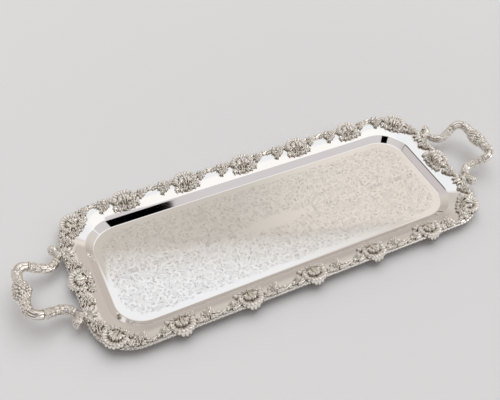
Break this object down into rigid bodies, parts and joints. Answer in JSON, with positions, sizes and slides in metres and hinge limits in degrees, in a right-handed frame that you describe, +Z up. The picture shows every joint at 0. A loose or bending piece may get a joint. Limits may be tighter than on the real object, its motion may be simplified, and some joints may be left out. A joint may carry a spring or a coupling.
{
  "type": "serving tray",
  "caption": "Oblong silver-plated serving tray with an engraved floor, a cast border of scallop shells and leaves, and a fixed cast loop handle at each end.",
  "frame": {"origin": "centre of the flat underside that the tray rests on", "axes": "+X along the tray towards the right handle, +Y across it to the far side, +Z up"},
  "size_m": [0.6656, 0.232, 0.0409],
  "materials": {
    "pressed_silver": "polished silver plate, chased with fine engraving on the floor",
    "moulding_silver": "polished silver plate moulding with darker hollows",
    "border_silver": "cast and silver plated, bright on the high spots, toned in the hollows",
    "handle_silver": "cast and silver plated, textured, worn bright on the grip"
  },
  "bodies": {
    "root": {"edge_moulding": "moulding_silver", "handle_leaf_1": "border_silver", "handle_leaf_2": "border_silver", "handle_leaf_3": "border_silver", "handle_leaf_4": "border_silver", "handle_leaf_5": "border_silver", "handle_leaf_6": "border_silver", "handle_leaf_7": "border_silver", "handle_leaf_8": "border_silver", "handle_left_corner_far": "handle_silver", "handle_left_corner_near": "handle_silver", "handle_left_curl_far": "handle_silver", "handle_left_curl_near": "handle_silver", "handle_left_foot_far": "handle_silver", "handle_left_foot_near": "handle_silver", "handle_left_grip_ornament": "handle_silver", "handle_left_leg_far": "handle_silver", "handle_left_leg_near": "handle_silver", "handle_right_corner_far": "handle_silver", "handle_right_corner_near": "handle_silver", "handle_right_curl_far": "handle_silver", "handle_right_curl_near": "handle_silver", "handle_right_foot_far": "handle_silver", "handle_right_foot_near": "handle_silver", "handle_right_grip_ornament": "handle_silver", "handle_right_leg_far": "handle_silver", "handle_right_leg_near": "handle_silver", "leaf_link_1": "border_silver", "leaf_link_10": "border_silver", "leaf_link_11": "border_silver", "leaf_link_12": "border_silver", "leaf_link_2": "border_silver", "leaf_link_3": "border_silver", "leaf_link_4": "border_silver", "leaf_link_5": "border_silver", "leaf_link_6": "border_silver", "leaf_link_7": "border_silver", "leaf_link_8": "border_silver", "leaf_link_9": "border_silver", "shell_corner_far_left": "border_silver", "shell_corner_far_right": "border_silver", "shell_corner_near_left": "border_silver", "shell_corner_near_right": "border_silver", "shell_end_left": "border_silver", "shell_end_right": "border_silver", "shell_far_1": "border_silver", "shell_far_2": "border_silver", "shell_far_3": "border_silver", "shell_far_4": "border_silver", "shell_far_5": "border_silver", "shell_near_1": "border_silver", "shell_near_2": "border_silver", "shell_near_3": "border_silver", "shell_near_4": "border_silver", "shell_near_5": "border_silver", "tray_body": "pressed_silver"}
  },
  "joints": []
}
